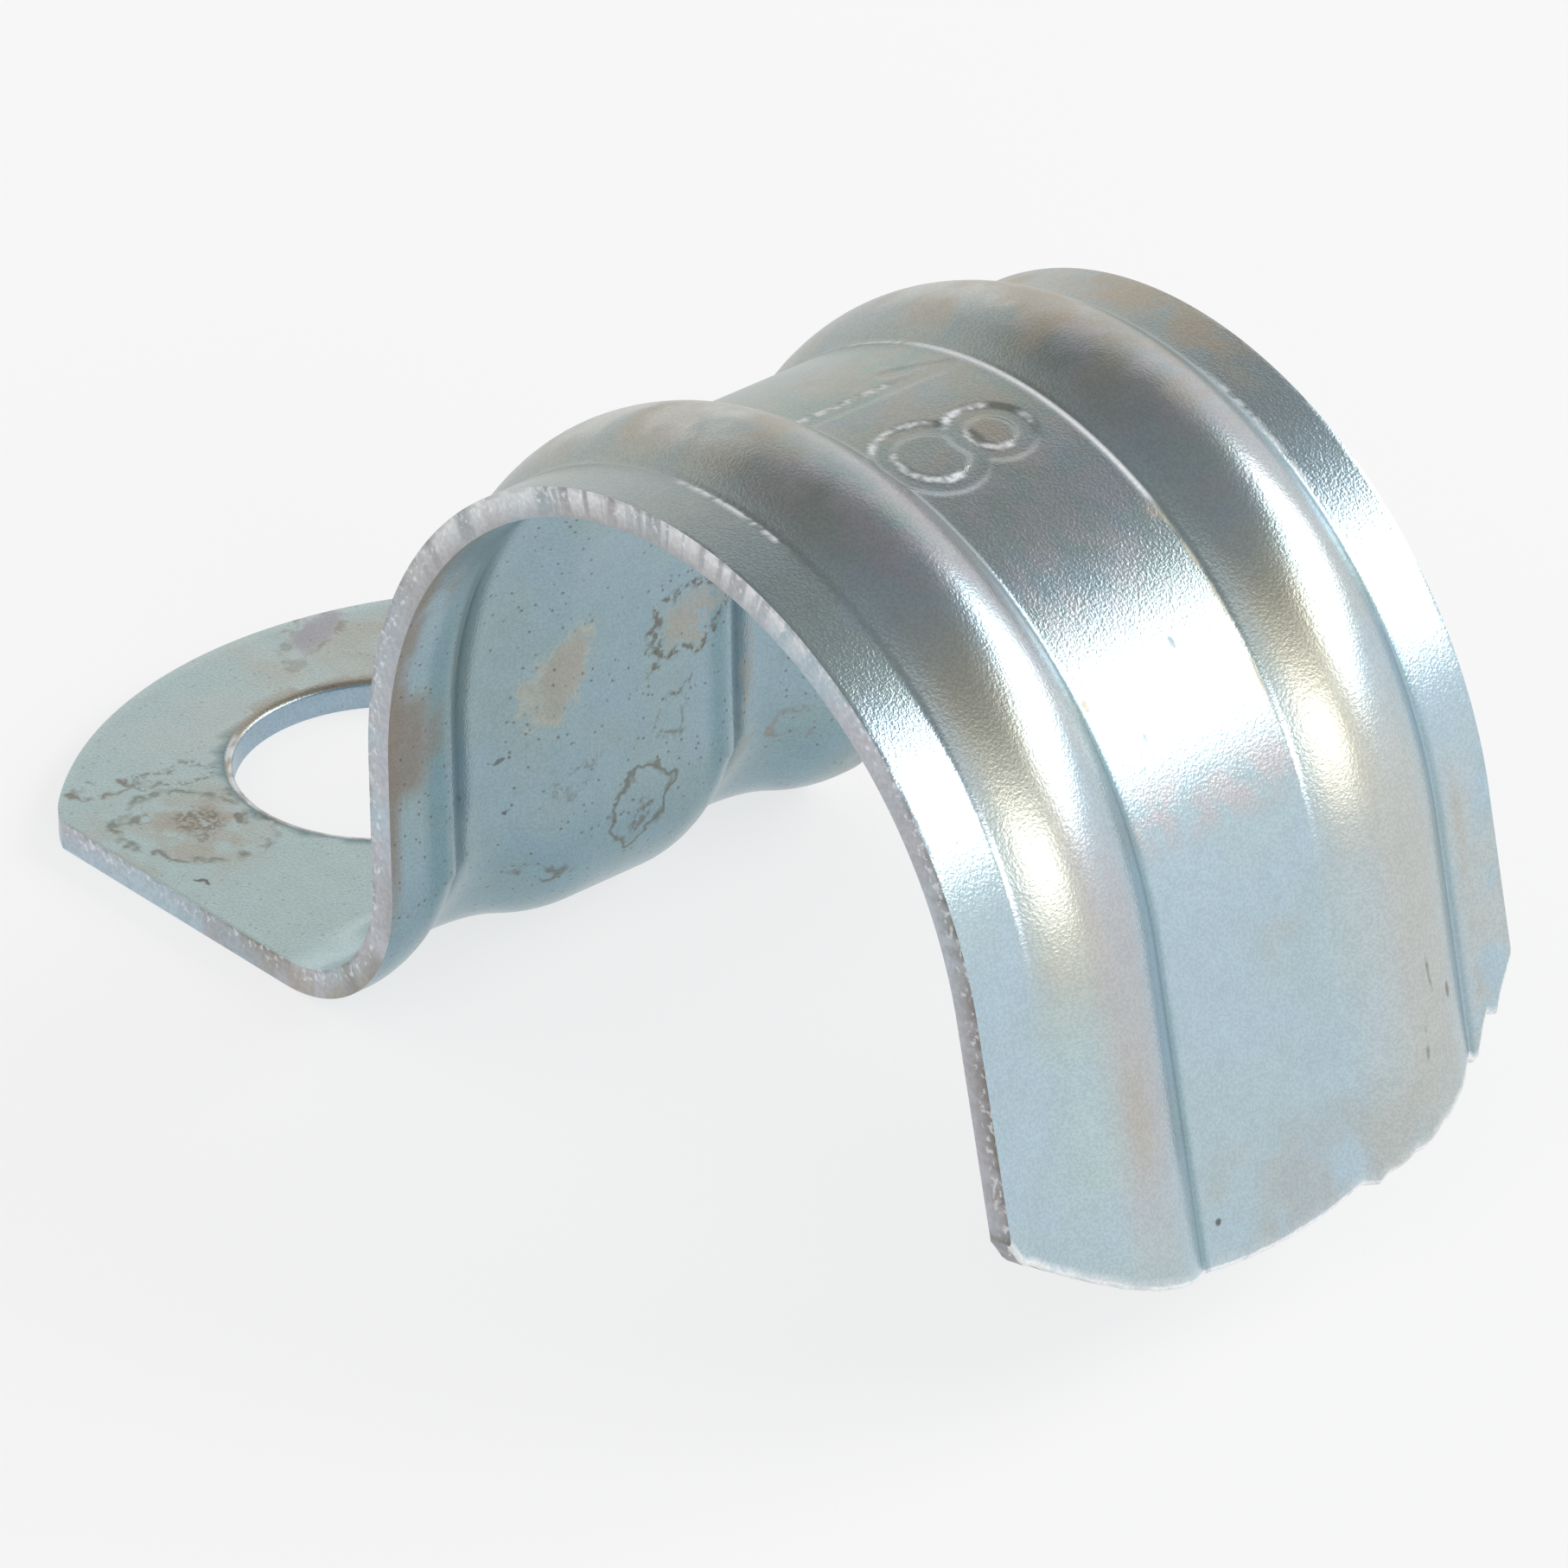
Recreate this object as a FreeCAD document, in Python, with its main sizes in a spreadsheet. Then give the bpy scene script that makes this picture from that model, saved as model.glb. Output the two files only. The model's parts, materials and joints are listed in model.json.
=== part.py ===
import FreeCAD, Part
import math
import os

import Sketcher

# One-hole conduit strap: one steel strip, pressed with two beads and folded to a lug and an arch.
# Origin at the middle of the screw hole, on the wall plane. +X to the conduit, +Y along it, +Z off the wall.

SIZES = [
    ("conduit_diameter", 18.0),
    ("sheet_thickness", 0.65),
    ("strap_width", 14.0),
    ("axis_height", 6.95),       # conduit axis above the wall before the screw is tightened
    ("axis_distance", 17.85),    # screw hole to conduit axis
    ("leg_spread", 12.0),        # degrees that the free leg opens from upright
    ("leg_length", 7.4),         # straight part of the free leg
    ("fold_radius", 3.1),        # inside radius between the lug and the upright wall
    ("bead_offset", 3.875),      # middle of the strip to the middle of a bead
    ("bead_half_width", 1.75),
    ("bead_height", 0.65),
    ("crease_radius", 0.3),      # hollow side of the crease along each bead
    ("runout_swell", 1.2),       # how much deeper than their height the beads swell in the fold
    ("runout_crease", 2.5),      # how much softer their creases get where the beads are widest
    ("screw_hole_diameter", 6.7),
    ("hole_edge_break", 0.25),   # edge that the punch draws down on the upper side
    ("lug_overhang", 6.25),      # screw hole to the lug's end
    ("end_arc_radius", 9.8),     # both ends of the strip are cut to this arc
    ("end_arc_offset", 0.5),     # each cut sits this far off the middle of the strip
    ("corner_radius", 0.3),
]

# The fold is lofted through sections turned by these angles. Each bead spreads there until it
# takes this share of the flat beside it, and then draws in and dies out on the lug.
FOLD_STEPS = ((0, 0.0), (15, 0.5), (30, 0.75), (45, 0.8), (60, 0.7), (75, 0.5), (90, 0.3))
FLAT_BREAK = 0.8                 # where the flat end of the loft is divided, as a share of the bead

Y_AXIS = FreeCAD.Vector(0, 1, 0)
X_AXIS = FreeCAD.Vector(1, 0, 0)
START, END, CENTRE = 1, 2, 3     # point numbers in a sketch constraint
ORIGIN = (-1, 1)

doc = FreeCAD.newDocument("ConduitStrap")
sheet = doc.addObject("Spreadsheet::Sheet", "Sizes")
for row, (alias, size) in enumerate(SIZES, start=1):
    sheet.set("A%d" % row, alias)
    sheet.set("B%d" % row, str(size))
    sheet.setAlias("B%d" % row, alias)
doc.recompute()

body = doc.addObject("PartDesign::Body", "Strap")
body.Label = "strap"

FOLD_X = "Sizes.axis_distance - Sizes.conduit_diameter / 2 - Sizes.sheet_thickness - Sizes.fold_radius"
FOLD_Z = "Sizes.fold_radius + Sizes.sheet_thickness"


def size(expression):
    """The value that a sheet expression has now."""
    return float(sheet.evalExpression(expression.replace("Sizes.", "")))


def planeSketch(name, role, base, axis=None, angle=None):
    """A sketch on one of the body's origin planes, moved by base and turned about one axis."""
    sketch = body.newObject("Sketcher::SketchObject", name)
    plane = next(item for item in body.Origin.OriginFeatures if item.Role == role)
    sketch.AttachmentSupport = [(plane, "")]
    sketch.MapMode = "FlatFace"
    if axis is not None:
        turn = FreeCAD.Rotation(axis, size(angle))
        sketch.AttachmentOffset = FreeCAD.Placement(FreeCAD.Vector(), turn)
        sketch.setExpression("AttachmentOffset.Rotation.Angle", angle)
    for direction, expression in zip("xyz", base):
        if expression:
            sketch.setExpression("AttachmentOffset.Base." + direction, expression)
    return sketch


def point(x, y):
    return FreeCAD.Vector(x, y, 0)


def addLine(sketch, start, end):
    return sketch.addGeometry(Part.LineSegment(start, end), False), START, END


def addArc(sketch, centre, start, end):
    """The short arc from start to end, with the numbers of its two ends in that order."""
    first = math.atan2(start.y - centre.y, start.x - centre.x)
    last = math.atan2(end.y - centre.y, end.x - centre.x)
    circle = Part.Circle(centre, FreeCAD.Vector(0, 0, 1), centre.distanceToPoint(start))
    if (last - first) % (2 * math.pi) < math.pi:
        return sketch.addGeometry(Part.ArcOfCircle(circle, first, last), False), START, END
    return sketch.addGeometry(Part.ArcOfCircle(circle, last, first), False), END, START


def dimension(sketch, kind, expression, *where):
    """A driving dimension bound to the sheet."""
    index = sketch.addConstraint(Sketcher.Constraint(kind, *where, size(expression)))
    sketch.setExpression("Constraints[%d]" % index, expression)
    return index


def upright(sketch, expression, first, second):
    """A bound distance along the sketch's Y, from the lower point to the upper one."""
    return dimension(sketch, "DistanceY", expression, *first, *second)


def across(sketch, expression, first, second):
    return dimension(sketch, "DistanceX", expression, *first, *second)


def bandSection(name, base, axis, angle, hollow_radius, outward, height, half_width, crease_radius):
    """The strip cut square across, seen along its length.

    The sketch's X is the distance from the fold's or the arch's axis and its Y runs along the axis.
    hollow_radius is the face towards the conduit. The beads rise from the other face, on the side
    that outward gives, and both faces of a bead share their centres, so the sheet keeps its thickness.
    """
    sketch = planeSketch(name, "XY_Plane", base, axis, angle)
    hollow = size(hollow_radius)
    sheet_t = size("Sizes.sheet_thickness")
    outer = hollow + outward * sheet_t
    crease = size(crease_radius)
    offset = size("Sizes.bead_offset")
    rise = size(height)
    half = size(half_width)
    edge = size("Sizes.strap_width") / 2
    bead_radius = "((%s)^2 + (%s)^2) / (2 * (%s)) - (%s)" % (half_width, height, height, crease_radius)
    radius = size(bead_radius)

    def sideLoop(face, middle_radius):
        """One face of the strip from low Y to high Y: line, crease, bead, crease, line and so on."""
        items = []
        last = point(face, -edge)
        for middle in (-offset, offset):
            centre = point(outer + outward * (rise - radius), middle)
            creases = [point(outer + outward * crease, middle + way * half) for way in (-1, 1)]
            reach = middle_radius / (radius + crease)
            meets = [centre + (item - centre) * reach for item in creases]
            foot = point(face, middle - half)
            items.append(addLine(sketch, last, foot))
            items.append(addArc(sketch, creases[0], foot, meets[0]))
            items.append(addArc(sketch, centre, meets[0], meets[1]))
            last = point(face, middle + half)
            items.append(addArc(sketch, creases[1], meets[1], last))
        items.append(addLine(sketch, last, point(face, edge)))
        for (one, _, one_end), (two, two_start, _) in zip(items, items[1:]):
            sketch.addConstraint(Sketcher.Constraint("Tangent", one, one_end, two, two_start))
        for line in items[0], items[4], items[8]:
            sketch.addConstraint(Sketcher.Constraint("Vertical", line[0]))
        return [item[0] for item in items]

    outside = sideLoop(outer, radius)
    inside = sideLoop(hollow, radius - sheet_t)
    low = addLine(sketch, point(hollow, -edge), point(outer, -edge))[0]
    high = addLine(sketch, point(hollow, edge), point(outer, edge))[0]
    for cap, end, which in (low, START, 0), (high, END, 8):
        sketch.addConstraint(Sketcher.Constraint("Coincident", cap, START, inside[which], end))
        sketch.addConstraint(Sketcher.Constraint("Coincident", cap, END, outside[which], end))
        sketch.addConstraint(Sketcher.Constraint("Horizontal", cap))
    across(sketch, hollow_radius, ORIGIN, (low, START))
    ends = ((low, START), (low, END))
    across(sketch, "Sizes.sheet_thickness", *(ends if outward > 0 else ends[::-1]))
    upright(sketch, "Sizes.strap_width / 2", (low, START), ORIGIN)
    upright(sketch, "Sizes.strap_width / 2", ORIGIN, (high, START))

    for bead, way in ((1, -1), (5, 1)):
        first, crown, second = bead, bead + 1, bead + 2
        for item in (first, crown, second):
            sketch.addConstraint(Sketcher.Constraint("Coincident", inside[item], CENTRE, outside[item], CENTRE))
        sketch.addConstraint(Sketcher.Constraint("Vertical", outside[first], CENTRE, outside[second], CENTRE))
        dimension(sketch, "Radius", crease_radius, outside[first])
        dimension(sketch, "Radius", crease_radius, outside[second])
        dimension(sketch, "Radius", bead_radius, outside[crown])
        far = "Sizes.bead_offset + (%s)" % half_width
        near = "Sizes.bead_offset - (%s)" % half_width
        if way < 0:
            upright(sketch, far, (outside[first], CENTRE), ORIGIN)
            upright(sketch, near, (outside[second], CENTRE), ORIGIN)
        else:
            upright(sketch, near, ORIGIN, (outside[first], CENTRE))
            upright(sketch, far, ORIGIN, (outside[second], CENTRE))
    return sketch


def flatSection(name, base, axis, angle, hollow_radius, half_width):
    """The strip where the beads have died out, cut into as many edges as bandSection has."""
    sketch = planeSketch(name, "XY_Plane", base, axis, angle)
    hollow = size(hollow_radius)
    outer = hollow - size("Sizes.sheet_thickness")
    outline = ["Sizes.strap_width / 2"]
    for sign in "+-":
        reach = ("Sizes.bead_offset %s (%s)" % (sign, half_width),
                 "Sizes.bead_offset %s (%s) * %g" % (sign, half_width, FLAT_BREAK))
        outline += reach if sign == "+" else reach[::-1]
    sides = []
    for face in (outer, hollow):
        heights = [-size(item) for item in outline] + [size(item) for item in outline[::-1]]
        lines = [addLine(sketch, point(face, low), point(face, high))[0]
                 for low, high in zip(heights, heights[1:])]
        for one, two in zip(lines, lines[1:]):
            sketch.addConstraint(Sketcher.Constraint("Coincident", one, END, two, START))
        for line in lines:
            sketch.addConstraint(Sketcher.Constraint("Vertical", line))
        for index, item in enumerate(outline):
            upright(sketch, item, (lines[index], START), ORIGIN)
            upright(sketch, item, ORIGIN, (lines[-1 - index], END))
        sides.append(lines)
    outside, inside = sides
    low = addLine(sketch, point(hollow, heights[0]), point(outer, heights[0]))[0]
    high = addLine(sketch, point(hollow, heights[-1]), point(outer, heights[-1]))[0]
    for cap, end, which in (low, START, 0), (high, END, -1):
        sketch.addConstraint(Sketcher.Constraint("Coincident", cap, START, inside[which], end))
        sketch.addConstraint(Sketcher.Constraint("Coincident", cap, END, outside[which], end))
    across(sketch, hollow_radius, ORIGIN, (inside[0], START))
    across(sketch, "Sizes.sheet_thickness", (outside[0], START), (inside[0], START))
    return sketch


def feature(kind, name, profile, **values):
    """A feature of the body made from a sketch, with its sizes bound where they are given as text."""
    made = body.newObject("PartDesign::" + kind, name)
    made.Profile = profile
    profile.Visibility = False
    for key, value in values.items():
        if isinstance(value, str) and value.startswith("="):
            made.setExpression(key, value[1:])
        else:
            setattr(made, key, value)
    return made


ARCH_CENTRE = ("Sizes.axis_distance", None, "Sizes.axis_height")
PLAIN_BEAD = ("Sizes.bead_height", "Sizes.bead_half_width", "Sizes.crease_radius")
SEAT_RADIUS = "Sizes.conduit_diameter / 2"


def makeArch():
    """The arch over the conduit, from the upright wall over the top to the free leg."""
    section = bandSection("ArchSection", ARCH_CENTRE, Y_AXIS, "180", SEAT_RADIUS, 1, *PLAIN_BEAD)
    doc.recompute()
    return feature("Revolution", "Arch", section, ReferenceAxis=(section, ["V_Axis"]),
                   Angle="=180 - Sizes.leg_spread")


def makeWall():
    """The upright wall between the arch and the fold."""
    section = bandSection("WallSection", ARCH_CENTRE, Y_AXIS, "180", SEAT_RADIUS, 1, *PLAIN_BEAD)
    doc.recompute()
    return feature("Pad", "Wall", section, Length="=Sizes.axis_height - (%s)" % FOLD_Z)


def makeLeg():
    """The straight free leg, then its end cut to an arc."""
    section = bandSection("LegSection", ARCH_CENTRE, -Y_AXIS, "Sizes.leg_spread", SEAT_RADIUS, 1, *PLAIN_BEAD)
    doc.recompute()
    feature("Pad", "Leg", section, Length="=Sizes.leg_length", Reversed=True)
    doc.recompute()

    # The cut starts inside the arch, one millimetre off the leg, so that it leaves the crown whole.
    inset = "(%s - 1)" % SEAT_RADIUS
    base = (None, "Sizes.axis_height + %s * sin(Sizes.leg_spread)" % inset,
            "Sizes.axis_distance + %s * cos(Sizes.leg_spread)" % inset)
    cut = planeSketch("LegEndCut", "YZ_Plane", base, -X_AXIS, "Sizes.leg_spread")
    radius = size("Sizes.end_arc_radius")
    middle = point(-size("Sizes.end_arc_offset"), radius - size("Sizes.leg_length"))
    arc = sketchCircle(cut, middle, radius)
    dimension(cut, "Radius", "Sizes.end_arc_radius", arc)
    across(cut, "Sizes.end_arc_offset", (arc, CENTRE), ORIGIN)
    upright(cut, "Sizes.end_arc_radius - Sizes.leg_length", ORIGIN, (arc, CENTRE))
    frame = [addLine(cut, start, end)[0] for start, end in rectangle(middle, radius + 1)]
    for one, two in zip(frame, frame[1:] + frame[:1]):
        cut.addConstraint(Sketcher.Constraint("Coincident", one, END, two, START))
    for line, kind in zip(frame, ("Horizontal", "Vertical") * 2):
        cut.addConstraint(Sketcher.Constraint(kind, line))
    across(cut, "Sizes.end_arc_radius + 1", (frame[0], START), (arc, CENTRE))
    upright(cut, "Sizes.end_arc_radius + 1", (frame[0], START), (arc, CENTRE))
    across(cut, "Sizes.end_arc_radius + 1", (arc, CENTRE), (frame[1], END))
    upright(cut, "Sizes.end_arc_radius + 1", (arc, CENTRE), (frame[1], END))
    doc.recompute()
    return feature("Pocket", "LegEnd", cut, Reversed=True,
                   Length="=Sizes.sheet_thickness + Sizes.bead_height + 2")


def sketchCircle(sketch, middle, radius):
    return sketch.addGeometry(Part.Circle(middle, FreeCAD.Vector(0, 0, 1), radius), False)


def rectangle(middle, half):
    corners = [middle + point(x * half, y * half) for x, y in ((-1, -1), (1, -1), (1, 1), (-1, 1))]
    return list(zip(corners, corners[1:] + corners[:1]))


def makeFold():
    """The fold from the upright wall to the lug, over which the beads swell, spread and die out."""
    outer_flat = "Sizes.strap_width / 2 - Sizes.bead_offset - Sizes.bead_half_width"
    inner_flat = "Sizes.bead_offset - Sizes.bead_half_width"
    base = (FOLD_X, None, FOLD_Z)
    sections = []
    for turn, spread in FOLD_STEPS:
        name = "Fold%02d" % turn
        half = "Sizes.bead_half_width + %g * min(%s; %s)" % (spread, outer_flat, inner_flat)
        if turn < 90:
            rise = "Sizes.bead_height * cos(%g) * (1 + Sizes.runout_swell * sin(%g))" % (turn, turn)
            crease = "Sizes.crease_radius + Sizes.runout_crease * %g" % spread
            sections.append(bandSection(name, base, Y_AXIS, "%g" % turn, FOLD_Z, -1, rise, half, crease))
        else:
            sections.append(flatSection(name, base, Y_AXIS, "%g" % turn, FOLD_Z, half))
    doc.recompute()
    fold = feature("AdditiveLoft", "Fold", sections[0], Ruled=False)
    fold.Sections = sections[1:]
    for section in sections:
        section.Visibility = False
    return fold


def makeLug():
    """The flat lug with its arc-cut end and the punched screw hole."""
    plan = planeSketch("LugPlan", "XY_Plane", (None, None, None))
    half = size("Sizes.strap_width") / 2
    radius = size("Sizes.end_arc_radius")
    end = -size("Sizes.lug_overhang")
    middle = point(end + radius, size("Sizes.end_arc_offset"))
    fold = size(FOLD_X)
    corners = [point(middle.x - math.sqrt(radius ** 2 - (y - middle.y) ** 2), y) for y in (half, -half)]
    near = addLine(plan, corners[1], point(fold, -half))[0]
    back = addLine(plan, point(fold, -half), point(fold, half))[0]
    far = addLine(plan, point(fold, half), corners[0])[0]
    arc, arc_start, arc_end = addArc(plan, middle, corners[0], corners[1])
    plan.addConstraint(Sketcher.Constraint("Coincident", near, END, back, START))
    plan.addConstraint(Sketcher.Constraint("Coincident", back, END, far, START))
    plan.addConstraint(Sketcher.Constraint("Coincident", far, END, arc, arc_start))
    plan.addConstraint(Sketcher.Constraint("Coincident", arc, arc_end, near, START))
    plan.addConstraint(Sketcher.Constraint("Horizontal", near))
    plan.addConstraint(Sketcher.Constraint("Horizontal", far))
    plan.addConstraint(Sketcher.Constraint("Vertical", back))
    across(plan, FOLD_X, ORIGIN, (back, START))
    upright(plan, "Sizes.strap_width / 2", (back, START), ORIGIN)
    upright(plan, "Sizes.strap_width / 2", ORIGIN, (back, END))
    dimension(plan, "Radius", "Sizes.end_arc_radius", arc)
    across(plan, "Sizes.end_arc_radius - Sizes.lug_overhang", ORIGIN, (arc, CENTRE))
    upright(plan, "Sizes.end_arc_offset", ORIGIN, (arc, CENTRE))
    doc.recompute()
    feature("Pad", "Lug", plan, Length="=Sizes.sheet_thickness")
    doc.recompute()

    drilling = planeSketch("HolePlan", "XY_Plane", (None, None, None))
    hole = sketchCircle(drilling, point(0, 0), size("Sizes.screw_hole_diameter") / 2)
    drilling.addConstraint(Sketcher.Constraint("Coincident", hole, CENTRE, *ORIGIN))
    dimension(drilling, "Radius", "Sizes.screw_hole_diameter / 2", hole)
    doc.recompute()
    return feature("Pocket", "ScrewHole", drilling, Midplane=True, Length="=4 * Sizes.sheet_thickness")


def breakEdges(kind, name, base, amount, wanted):
    """A fillet or a chamfer on the edges of the last feature that wanted picks."""
    picked = ["Edge%d" % number for number, edge in enumerate(base.Shape.Edges, start=1) if wanted(edge)]
    made = body.newObject("PartDesign::" + kind, name)
    made.Base = (base, picked)
    made.setExpression({"Fillet": "Radius", "Chamfer": "Size"}[kind], amount)
    return made


def isHoleRim(edge):
    top = size("Sizes.sheet_thickness")
    radius = size("Sizes.screw_hole_diameter") / 2
    return (isinstance(edge.Curve, Part.Circle) and abs(edge.Curve.Radius - radius) < 1e-4
            and abs(edge.Curve.Center.z - top) < 1e-4)


def isLugCorner(edge):
    middle = edge.BoundBox.Center
    thick = size("Sizes.sheet_thickness")
    return (abs(edge.BoundBox.ZLength - thick) < 1e-4 and abs(middle.z - thick / 2) < 1e-4
            and abs(abs(middle.y) - size("Sizes.strap_width") / 2) < 1e-4 and middle.x < 0)


makeArch()
doc.recompute()
makeWall()
doc.recompute()
makeLeg()
doc.recompute()
makeFold()
doc.recompute()
hole = makeLug()
doc.recompute()
corners = breakEdges("Fillet", "LugCorners", hole, "Sizes.corner_radius", isLugCorner)
doc.recompute()
rim = breakEdges("Chamfer", "HoleRim", corners, "Sizes.hole_edge_break", isHoleRim)
body.Tip = rim
doc.recompute()

for item in doc.Objects:
    if "Invalid" in item.State or "Error" in item.State:
        raise RuntimeError("%s did not recompute: %s" % (item.Name, item.State))
if body.Shape.isNull() or not body.Shape.isValid() or len(body.Shape.Solids) != 1:
    raise RuntimeError("strap is not one valid solid")

os.makedirs("parts", exist_ok=True)
body.Shape.exportStep("parts/%s.step" % body.Label)
box = body.Shape.BoundBox
print("strap: volume %.2f mm3, X %.2f to %.2f, Y %.2f to %.2f, Z %.2f to %.2f"
      % (body.Shape.Volume, box.XMin, box.XMax, box.YMin, box.YMax, box.ZMin, box.ZMax))
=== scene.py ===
import json
import math

import bpy
from mathutils import Euler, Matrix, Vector, noise


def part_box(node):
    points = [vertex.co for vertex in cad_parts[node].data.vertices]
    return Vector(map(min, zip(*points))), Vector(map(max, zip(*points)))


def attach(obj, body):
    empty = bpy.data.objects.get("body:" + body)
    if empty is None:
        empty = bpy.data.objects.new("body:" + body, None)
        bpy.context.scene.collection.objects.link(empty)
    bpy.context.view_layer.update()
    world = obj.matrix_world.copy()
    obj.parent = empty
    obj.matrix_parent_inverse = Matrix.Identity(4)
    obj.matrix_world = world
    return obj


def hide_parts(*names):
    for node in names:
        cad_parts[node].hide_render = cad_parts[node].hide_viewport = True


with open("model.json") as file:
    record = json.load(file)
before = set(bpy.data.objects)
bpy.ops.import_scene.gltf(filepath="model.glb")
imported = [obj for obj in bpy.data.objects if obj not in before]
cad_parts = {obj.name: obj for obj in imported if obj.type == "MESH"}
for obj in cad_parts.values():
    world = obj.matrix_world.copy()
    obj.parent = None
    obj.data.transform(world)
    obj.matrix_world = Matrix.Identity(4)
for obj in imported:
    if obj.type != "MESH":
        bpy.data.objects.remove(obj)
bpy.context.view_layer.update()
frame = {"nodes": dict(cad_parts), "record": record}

mm = 0.001
print("frame loaded:", ", ".join(frame["nodes"]))

# The strip's own sizes, in millimetres. The screw hole's middle on the wall plane is the origin.
mounts = {mount["name"]: mount for mount in frame["record"]["mounts"]}
seat, hole = mounts["conduit_seat"], mounts["screw_hole"]
strap = {
    "axisX": seat["pos_m"][0] / mm,              # the conduit's axis
    "axisZ": seat["pos_m"][2] / mm,
    "seatRadius": seat["dims"]["r_mm"],
    "halfWidth": seat["dims"]["length_mm"] / 2,
    "sheet": 0.65,
    "foldRadius": 3.1,
    "legSpread": 12.0,                           # degrees that the free leg opens from upright
    "legLength": 7.4,
    "lugEnd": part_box("strap")[0].x / mm,
    "endRadius": 9.8,                            # both ends are cut to this arc, a little off the middle
    "endOffset": 0.5,
    "holeRadius": hole["dims"]["r_mm"],
    "beadOffset": 3.875,
    "beadHalf": 1.75,
    "beadHeight": 0.65,
    "crease": 0.3,                               # radius where a bead meets the flat sheet
}

# How a bead changes while the sheet turns through the fold.
foldBead = {
    "swell": 1.2,                                # it gets higher before it dies out
    "spread": 0.8,                               # the most of the flat beside it that it takes up
    "spreadTurn": 2.757,                         # how far round a sine the spread goes, in radians
    "spreadPower": 0.745,                        # and how early
    "creaseGrowth": 2.5,
    "gone": 1e-3,                                # a bead lower than this is flat
}

# What follows from the sizes: the arch's outer radius, the fold's centre, and the places along the strip where its
# stretches meet. Along is 0 at the arch's top, counts up to the free end and down to the lug's.
outerRadius = strap["seatRadius"] + strap["sheet"]
foldX = strap["axisX"] - outerRadius - strap["foldRadius"]
foldZ = strap["foldRadius"] + strap["sheet"]
legAngle = math.radians(strap["legSpread"])
archBack = -outerRadius * math.pi / 2
wallFoot = archBack - (strap["axisZ"] - foldZ)
lugStart = wallFoot - strap["foldRadius"] * math.pi / 2
legStart = (math.pi / 2 - legAngle) * outerRadius

# How finely each stretch of the strip is divided, from the lug's end to the free end, and across.
rowCounts = {"lug": 34, "fold": 36, "wall": 10, "archBack": 40, "archNumber": 96, "archFront": 40,
             "leg": 34, "tip": 5}
columnCounts = {"edge": 4, "margin": 7, "crease": 6, "crown": 16, "middle": 56}
numberArc = (112.0, 66.0)                        # degrees on the arch between which the number is pressed

# How the press left the edges: rounded corners, and a free end with burrs and nicks. The sheared corners are meant to
# be broken too, but the bevel that is to do it comes out with no width.
ends = {
    "broken": 0.08,                              # the width that is asked of the bevel
    "brokenSteps": 3,
    "brokenFrom": 50,                            # a corner counts as sheared from this many degrees
    "smoothTo": 35,                              # faces that meet at less than this many shade as one
    "cornerReach": 0.45,                         # how far from the side edge a corner starts to round
    "cornerDrop": 0.2,
    "tipRoll": 0.16,                             # the free end's outer edge is rolled over by this much
    "waver": 0.02,                               # how far the cut line wanders
    "waverRate": 4.0,                            # and how quickly
    # across, half width and how far each stands out from the cut line
    "burrs": ((-6.72, 0.13, 0.1), (2.46, 0.13, 0.17), (3.3, 0.1, -0.06), (4.1, 0.08, -0.07),
              (5.72, 0.2, 0.42), (6.14, 0.1, -0.12), (6.42, 0.14, 0.26)),
}


def smooth(value, low, high):
    share = max(0.0, min(1.0, (value - low) / (high - low)))
    return share * share * (3 - 2 * share)


def deselectAll():
    if bpy.context.object and bpy.context.object.mode != "OBJECT":
        bpy.ops.object.mode_set(mode="OBJECT")
    bpy.ops.object.select_all(action="DESELECT")


def makeActive(piece):
    deselectAll()
    piece.select_set(True)
    bpy.context.view_layer.objects.active = piece


def applyModifier(piece, kind, name, **values):
    makeActive(piece)
    modifier = piece.modifiers.new(name, kind)
    for key, value in values.items():
        setattr(modifier, key, value)
    bpy.ops.object.modifier_apply(modifier=modifier.name)


def beadSize(turn):
    # Height, half width and crease of a bead. turn is 0 on the wall and 90 degrees on the lug.
    angle = math.radians(turn)
    spread = foldBead["spread"] * math.sin(foldBead["spreadTurn"] * (turn / 90) ** foldBead["spreadPower"])
    outerFlat = strap["halfWidth"] - strap["beadOffset"] - strap["beadHalf"]
    height = strap["beadHeight"] * math.cos(angle) * (1 + foldBead["swell"] * math.sin(angle))
    crease = strap["crease"] + foldBead["creaseGrowth"] * spread
    return max(height, 0.0), strap["beadHalf"] + spread * outerFlat, crease


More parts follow.
